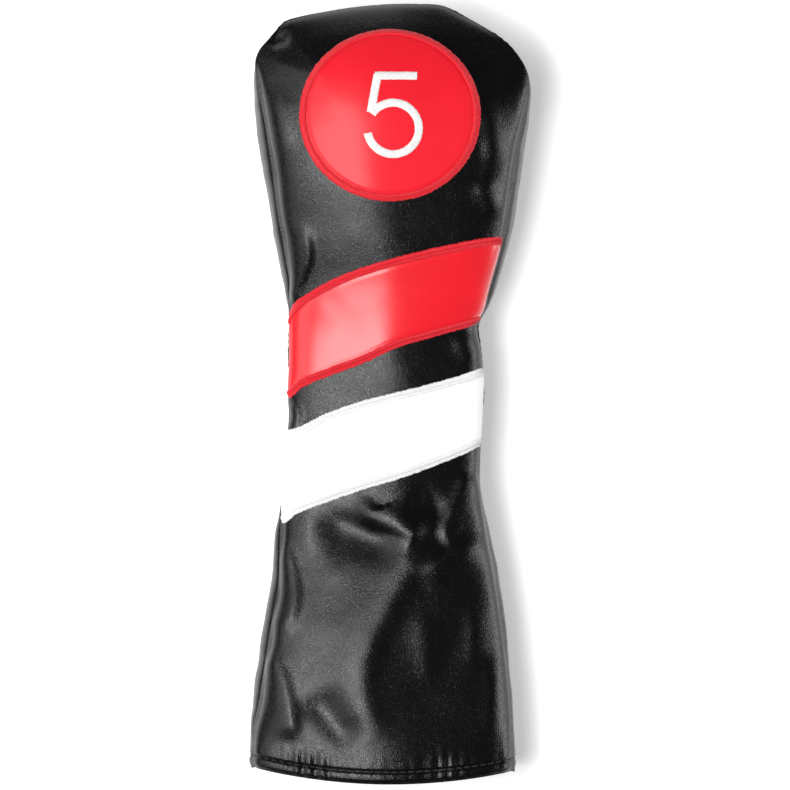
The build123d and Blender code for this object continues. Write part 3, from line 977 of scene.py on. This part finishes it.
satin("red_band_top_rim", line_across(red_top, True), satin_width, "left", seed=52)
satin("red_band_bottom_rim", line_across(red_bottom), satin_width, "left", seed=53)
satin("white_band_top_rim", line_across(white_top, True), satin_width, "left", seed=54)
satin("white_band_bottom_rim", line_across(white_bottom), satin_width, "left", seed=55)

# %% The numeral
figure_width = 3.4


def arc(centre, radius, first, last, count=40):
    """Points on part of a circle. Angles are in degrees."""
    angle = np.radians(np.linspace(first, last, count))
    return np.stack([centre[0] + radius * np.cos(angle), centre[1] + radius * np.sin(angle)], axis=1)


def straight(a, b, count=20):
    """Evenly spaced points from a to b."""
    share = np.linspace(0, 1, count)[:, None]
    return np.array(a, float) * (1 - share) + np.array(b, float) * share


strokes = {
    "five_bar": straight((-6.3, 16.1), (11.2, 16.1)),
    "five_stem": straight((-5.2, 16.6), (-8.0, 0.8)),
    "five_bowl": arc((1.3, -5.9), 10.7, 146, -170, 90),
}
for seed, (name, stroke) in enumerate(strokes.items()):
    satin(name, stroke + patch_centre, figure_width, "all", seed=60 + seed, ragged=0.04)
print("numeral strokes", list(strokes))

# %% [markdown]
# ## Stitches
# A stitch is a short rod that rises from one needle hole and dives into the next. The hem
# and the elastic have rows of them. The seams are sewn from the inside, so their thread only
# shows as short bars deep in the groove.


# %% Stitches
def stitch_row(sheet, row, column, pitch, length, radius, depth):
    """The lines and squares of the stitches that follow a path on a sheet."""
    path = np.column_stack([sheet.at(row, column), row, column])
    distance = along(path[:, :3])
    middles = np.arange(pitch / 2, distance[-1] - pitch / 4, pitch)
    t = np.linspace(-1, 1, 9)
    places = middles[:, None] + t[None] * length / 2
    rows_here = np.interp(places, distance, path[:, 3])
    columns_here = np.interp(places, distance, path[:, 4])
    lift = depth + radius * 0.6 - 1.1 * radius * np.abs(t) ** 5
    lines = sheet.at(rows_here, columns_here, np.broadcast_to(lift, places.shape))
    squares = sheet.sample(rows_here, columns_here)[..., 3:6]
    return lines, squares


def join_rows(name, parts, radius):
    """One object made of several rows of stitches."""
    lines = np.concatenate([line for line, _ in parts])
    squares = np.concatenate([square for _, square in parts])
    t = np.linspace(-1, 1, lines.shape[1])
    pieces[name] = rods(name, lines, squares, radius * np.sqrt(np.maximum(1 - t**6, 0.04)))
    return len(lines)


def row_above_mouth(up, height, across):
    """The fractional row at a height above the mouth, for each column."""
    return np.array([np.interp(height, up[:, int(c)], np.arange(len(up))) for c in across])


thread_radius = 0.33
stitch_pitch = 3.5
stitch_length = 2.7
stitch = (stitch_pitch, stitch_length, thread_radius, 0.0)  # the same in the hem and the elastic
across = np.linspace(0.5, columns - 1.5, 300)
sewn = [
    stitch_row(sheet, row_above_mouth(up, hem_line, across), across, *stitch)
    for sheet, up in ((front, up_front), (back, up_back))
]
down_gusset = np.linspace(0.8, gusset_rows - 1.8, 60)
half = perimeter_count // 2
hem_place = np.interp(hem_line, up_gusset[:half, 0], np.arange(half))
for place in (hem_place, perimeter_count - 1 - hem_place):
    sewn.append(stitch_row(gusset, np.full(len(down_gusset), place), down_gusset, *stitch))
print("hem stitches", join_rows("hem_thread", sewn, thread_radius))

# %% Stitches of the elastic and the seams
gathers = []
for height in (-row_shift, row_shift):
    band_row = np.array([np.interp(height, back_sheet[:, int(c), 1], np.arange(rows)) for c in across])
    gathers.append(stitch_row(back, band_row, across, *stitch))
print("elastic stitches", join_rows("elastic_thread", gathers, thread_radius))

bar_pitch = 3.2
bar_length = 2.4
bar_radius = 0.3
bar_depth = -0.3
every_place = np.linspace(1, perimeter_count - 2, 2500)
for name, edge_column in (("front_seam_bars", 0.7), ("back_seam_bars", gusset_rows - 1.7)):
    edge = np.full(len(every_place), edge_column)
    sewn = stitch_row(gusset, every_place, edge, bar_pitch, bar_length, bar_radius, bar_depth)
    print(name, join_rows(name, [sewn], bar_radius))

# %% [markdown]
# ## Shader maths
# Node graphs are easier to read as sums. A small class wraps the output of a node, so that
# adding or multiplying two of them adds the Math node that does it.


# %% Values that can be added and multiplied
class Value:
    """The output of a node, used as a number."""

    def __init__(self, finish, socket):
        self.finish = finish
        self.socket = socket

    def math(self, operation, *others):
        return self.finish.node("ShaderNodeMath", {"operation": operation}, dict(enumerate((self, *others))))

    def __add__(self, other):
        return self.math("ADD", other)

    def __mul__(self, other):
        return self.math("MULTIPLY", other)

    def __rsub__(self, other):
        return self.finish.node("ShaderNodeMath", {"operation": "SUBTRACT"}, {0: other, 1: self})

    __rmul__ = __mul__

    def between(self, low, high):
        """0 where this is at low or under, 1 at high or over, smooth between."""
        settings = {"interpolation_type": "SMOOTHSTEP"}
        inputs = {"Value": self, "From Min": low, "From Max": high}
        return self.finish.node("ShaderNodeMapRange", settings, inputs)


class Finish:
    """A material that is being made."""

    def __init__(self, name, **numbers):
        self.material = bpy.data.materials.new(name)
        self.material.use_nodes = True
        self.tree = self.material.node_tree
        self.shader = self.tree.nodes["Principled BSDF"]
        for socket, number in numbers.items():
            self.set(socket.replace("_", " ").title().replace("Ior", "IOR"), number)

    def set(self, socket, value):
        """Gives a socket of the shader a number, a colour or a node's output."""
        self.give(self.shader.inputs[socket], value)

    def give(self, socket, value):
        if isinstance(value, Value):
            self.tree.links.new(value.socket, socket)
        elif isinstance(value, (tuple, list)) and len(value) == 3 and len(socket.default_value) == 4:
            socket.default_value = (*value, 1.0)
        else:
            socket.default_value = value

    def node(self, kind, settings=None, inputs=None, output=0):
        """Any node: its settings first, then the values or links of its sockets."""
        node = self.tree.nodes.new(kind)
        for key, value in (settings or {}).items():
            setattr(node, key, value)
        for key, value in (inputs or {}).items():
            self.give(node.inputs[key], value)
        return Value(self, node.outputs[output])

    def place(self):
        """The place on the object, in millimetres."""
        where = self.node("ShaderNodeTexCoord", output="Object")
        return self.node("ShaderNodeVectorMath", {"operation": "SCALE"}, {0: where, "Scale": 1000.0})

    def noise(self, place, size, detail=2.0, roughness=0.5):
        """Soft random values, with lumps about one size apart."""
        inputs = {"Vector": place, "Scale": 1 / size, "Detail": detail, "Roughness": roughness}
        return self.node("ShaderNodeTexNoise", None, inputs)

    def mix(self, share, first, second):
        """A colour between two colours."""
        settings = {"data_type": "RGBA"}
        return self.node("ShaderNodeMix", settings, {0: share, 6: first, 7: second}, output=2)

    def bump(self, height, distance):
        """Relief that is distance millimetres deep where the height goes from 0 to 1."""
        inputs = {"Height": height, "Distance": distance * metres, "Strength": 1.0}
        return self.node("ShaderNodeBump", None, inputs)


# %% [markdown]
# ## Black leather
# The cover is coated synthetic leather with a fine pebble. Its shine comes from many small
# domes, so highlights look grainy. A cell pattern makes the pebble: cells about 0.9 mm wide
# with sunk borders. Wider noise changes how rough it is, because handling polishes it.


# %% Black leather
def pebbled(name, colour, roughness, grain_depth, cell):
    """Coated leather with a fine pebble."""
    finish = Finish(name, specular_ior_level=0.5)
    place = finish.place()
    drifting = {"Vector": place, "Scale": 0.5, "Detail": 1.0}
    drift = finish.node("ShaderNodeTexNoise", None, drifting, output="Color")
    bent = finish.node("ShaderNodeVectorMath", {"operation": "ADD"}, {0: place, 1: drift})
    settings = {"feature": "DISTANCE_TO_EDGE"}
    inputs = {"Vector": bent, "Scale": 1 / cell}
    cells = finish.node("ShaderNodeTexVoronoi", settings, inputs, output="Distance")
    pebble = cells.between(0.0, 0.32)
    fine = finish.noise(place, 0.22)
    relief = pebble * 0.8 + fine * 0.12
    worn = finish.noise(place, 26.0, 3.0, 0.6).between(0.35, 0.7)
    finish.set("Roughness", roughness - 0.03 * worn + 0.05 * (1 - pebble))
    light = tuple(1.5 * c + 0.0006 for c in colour)
    dark = tuple(0.7 * c for c in colour)
    finish.set("Base Color", finish.mix(pebble * 0.7 + worn * 0.3, dark, light))
    finish.set("Normal", finish.bump(relief, grain_depth))
    return finish.material


black_leather = pebbled("black_leather", (0.0018, 0.0018, 0.0020), 0.27, 0.045, cell=0.9)
print("made", black_leather.name)

# %% [markdown]
# ## Patent and smooth leather
# The patch and the red stripe are patent: dyed leather under a clear coat. The coat is a
# little rough, so the lamp shows in it as a pale band with soft edges. The patch's coat is
# weaker than the stripe's. The white stripe is smooth and hardly shines.


# %% Patent and smooth leather
def patent(name, colour, coat):
    """Dyed leather under a clear coat."""
    finish = Finish(name, coat_weight=coat, coat_roughness=0.26, roughness=0.5, specular_ior_level=0.3)
    place = finish.place()
    ripple = finish.noise(place, 3.4)
    grain = finish.noise(place, 0.6)
    deep = tuple(0.82 * c for c in colour)
    finish.set("Base Color", finish.mix(finish.noise(place, 18.0), deep, colour))
    finish.set("Normal", finish.bump(ripple * 0.8 + grain * 0.2, 0.1))
    return finish.material


red_patent = patent("red_patent", (0.86, 0.0095, 0.02), 1.0)
patch_patent = patent("patch_patent", (0.86, 0.012, 0.026), 0.3)


def smooth_leather(name, colour):
    """Smooth coated leather with a very fine grain."""
    finish = Finish(name, roughness=0.42)
    place = finish.place()
    tone = finish.noise(place, 22.0, 3.0)
    finish.set("Base Color", finish.mix(tone, tuple(0.93 * c for c in colour), colour))
    finish.set("Normal", finish.bump(finish.noise(place, 0.5, 3.0), 0.04))
    return finish.material


white_leather = smooth_leather("white_leather", (0.95, 0.948, 0.935))
print("made", red_patent.name, white_leather.name)

# %% [markdown]
# ## Thread, pile, foam and elastic
# Embroidery thread is bright and silky, sewing thread is dull. The ridges are already in the
# mesh, so the material only adds the fibres and small changes of tone.


# %% Thread, pile, foam and elastic
def thread(name, colour, roughness, sheen):
    """Twisted thread."""
    finish = Finish(name, roughness=roughness, sheen_weight=sheen, sheen_roughness=0.4)
    place = finish.place()
    fibre = finish.noise(place, 0.16)
    tone = finish.noise(place, 0.9)
    finish.set("Base Color", finish.mix(tone, tuple(0.72 * c for c in colour), colour))
    finish.set("Normal", finish.bump(fibre, 0.05))
    return finish.material


satin_red = thread("satin_red", (0.78, 0.014, 0.028), 0.5, 0.15)
satin_white = thread("satin_white", (0.93, 0.93, 0.92), 0.5, 0.2)
black_thread = thread("black_thread", (0.010, 0.010, 0.011), 0.5, 0.2)


def fuzzy(name, colour, size, depth, sheen):
    """Pile, foam or webbing: rough all over."""
    finish = Finish(name, roughness=0.95, sheen_weight=sheen, sheen_roughness=0.5, specular_ior_level=0.2)
    place = finish.place()
    lumps = finish.noise(place, size, 4.0, 0.65)
    finish.set("Base Color", finish.mix(lumps.between(0.3, 0.7), tuple(0.6 * c for c in colour), colour))
    finish.set("Normal", finish.bump(lumps, depth))
    return finish.material


pile_cloth = fuzzy("pile", (0.035, 0.035, 0.037), 0.8, 0.8, 0.6)
foam_sheet = fuzzy("foam", (0.30, 0.30, 0.29), 0.5, 0.25, 0.0)
elastic_web = fuzzy("elastic", (0.03, 0.03, 0.03), 0.4, 0.15, 0.2)
print("made", satin_red.name, satin_white.name, black_thread.name, pile_cloth.name)

# %% [markdown]
# ## Each piece, its finish and the CAD node that it stands for
# One table says all three, so that nothing is forgotten.

# %% Dress the pieces
one_piece = {
    "front_leather": (black_leather, "black_leather", "front_panel"),
    "gusset_leather": (black_leather, "black_leather", "side_gusset"),
    "back_leather": (black_leather, "black_leather", "back_panel"),
    "front_foam": (foam_sheet, "foam", "front_padding"),
    "gusset_foam": (foam_sheet, "foam", "gusset_padding"),
    "back_head_foam": (foam_sheet, "foam", "back_head_padding"),
    "back_skirt_foam": (foam_sheet, "foam", "back_skirt_padding"),
    "front_pile": (pile_cloth, "pile", "front_lining"),
    "gusset_pile": (pile_cloth, "pile", "gusset_lining"),
    "back_pile": (pile_cloth, "pile", "back_lining"),
    "elastic_band": (elastic_web, "elastic", "neck_elastic"),
    "patch": (patch_patent, "red_patent", "number_patch"),
    "patch_rim": (satin_red, "satin_red", "number_patch_border"),
    "red_band": (red_patent, "red_patent", "red_stripe"),
    "red_band_top_rim": (satin_red, "satin_red", "red_stripe_top_border"),
    "red_band_bottom_rim": (satin_red, "satin_red", "red_stripe_bottom_border"),
    "white_band": (white_leather, "white_leather", "white_stripe"),
    "white_band_top_rim": (satin_white, "satin_white", "white_stripe_top_border"),
    "white_band_bottom_rim": (satin_white, "satin_white", "white_stripe_bottom_border"),
    "five_bar": (satin_white, "satin_white", "number_five"),
    "five_stem": (satin_white, "satin_white", "number_five"),
    "five_bowl": (satin_white, "satin_white", "number_five"),
    "front_seam_bars": (black_thread, "black_thread", "front_seam_thread"),
    "back_seam_bars": (black_thread, "black_thread", "back_seam_thread"),
    "hem_thread": (black_thread, "black_thread", "hem_stitches"),
    "elastic_thread": (black_thread, "black_thread", "elastic_stitches"),
}
for name, (finish, slot_name, node_name) in one_piece.items():
    piece = pieces[name]
    piece.data.materials.append(finish)
    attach(piece, body)
    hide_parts(node_name)
print("dressed", len(one_piece), "of", len(pieces), "pieces")

# %% [markdown]
# ## Flat sizes of the panels
# Leather and lining are sheets, cut flat and held in shape by the seams. A flat size is
# measured on each panel: its widest width and longest length, with an allowance for the seams
# and the hem, and its area. The allowance is a guess. So is how much smaller each lining is
# cut than its leather: those shares were set to fit the meshes.


seam_allowance = 4.0


def flat_size(sheet, hems):
    """The widest width and longest length of a sheet before it is sewn, in metres."""
    points = sheet.layer(0.0)
    width = np.linalg.norm(np.diff(points, axis=1), axis=2).sum(axis=1).max()
    length = np.linalg.norm(np.diff(points, axis=0), axis=2).sum(axis=0).max()
    return (width + 2 * seam_allowance) * metres, (length + seam_allowance + hems * hem_depth) * metres


def panel_area(sheet):
    """The area of a sheet in square metres."""
    points = sheet.layer(0.0)
    over = np.diff(points, axis=1)[:-1]
    up = np.diff(points, axis=0)[:, :-1]
    return float(np.linalg.norm(np.cross(over, up), axis=2).sum()) * metres**2


for name, sheet, hems, pile_share in (
    ("front", front, 1, 0.9),
    ("back", back, 1, 0.86),
    ("gusset", gusset, 2, 0.76),
):
    width, length = flat_size(sheet, hems)
    area = panel_area(sheet)
    pieces[name + "_leather"]
    pieces[name + "_pile"]
    area * pile_share

# %% [markdown]
# ## Floor, lamps and camera
# The cover lies on a white sweep, and the camera looks straight down. A soft lamp high at the
# left is what the leather's slopes mirror, so the way they lean shows as light and dark. A
# fill lamp beside it lights the colours but is not mirrored. Two lower lamps reach the steep
# sides. Above the cover it is dark, and that keeps the leather black. The sweep glows a
# little, so that it stays white.

# %% Floor
bpy.ops.mesh.primitive_plane_add(size=8.0, location=(0, 0, 0))
floor = bpy.context.object
floor.name = "floor"
paper = Finish("paper", roughness=0.9, specular_ior_level=0.0)
paper.set("Base Color", (0.86, 0.86, 0.86))
paper.set("Emission Color", (1.0, 1.0, 1.0))
paper.set("Emission Strength", 0.42)
floor.data.materials.append(paper.material)


# %% Lamps
def softbox(name, place, aim, width, height, power, mirrored=True):
    """A flat rectangular lamp that faces a point; shiny things need not mirror it."""
    data = bpy.data.lights.new(name, "AREA")
    data.shape = "RECTANGLE"
    data.size = width
    data.size_y = height
    data.energy = power
    lamp = bpy.data.objects.new(name, data)
    lamp.location = place
    lamp.visible_camera = False
    lamp.visible_glossy = mirrored
    lamp.rotation_euler = (Vector(aim) - Vector(place)).to_track_quat("-Z", "Y").to_euler()
    bpy.context.scene.collection.objects.link(lamp)


cover_middle = (0, 0, 0.03)
softbox("key_lamp", (-0.52, -0.2, 1.6), cover_middle, 1.0, 0.45, 16.0)
softbox("fill_lamp", (-0.52, 0.05, 1.6), cover_middle, 1.0, 0.8, 17.0, mirrored=False)
softbox("left_lamp", (-1.25, 0.1, 1.15), cover_middle, 2.0, 0.6, 8.0)
softbox("right_lamp", (1.9, 0.0, 0.5), cover_middle, 1.2, 0.6, 14.0)

room_glow = 0.012  # what the leather mirrors where no lamp is
backdrop_glow = 0.95  # what the camera sees past the sweep
world = bpy.data.worlds.new("studio")
world.use_nodes = True
bpy.context.scene.world = world
backdrop = world.node_tree.nodes["Background"]
backdrop.inputs["Color"].default_value = (1.0, 1.0, 1.0, 1.0)
seen = world.node_tree.nodes.new("ShaderNodeLightPath")
strength = world.node_tree.nodes.new("ShaderNodeMapRange")
strength.inputs["To Min"].default_value = room_glow
strength.inputs["To Max"].default_value = backdrop_glow
world.node_tree.links.new(seen.outputs["Is Camera Ray"], strength.inputs["Value"])
world.node_tree.links.new(strength.outputs["Result"], backdrop.inputs["Strength"])
bpy.context.scene.view_settings.view_transform = "Standard"

# %% Camera
lens = bpy.data.cameras.new("camera")
lens.lens = 400.0
lens.sensor_width = 36.0
camera = bpy.data.objects.new("camera", lens)
camera.location = (0.0021, 0.0, 3.735)
bpy.context.scene.collection.objects.link(camera)
bpy.context.scene.camera = camera
print("camera at", tuple(round(v, 3) for v in camera.location))
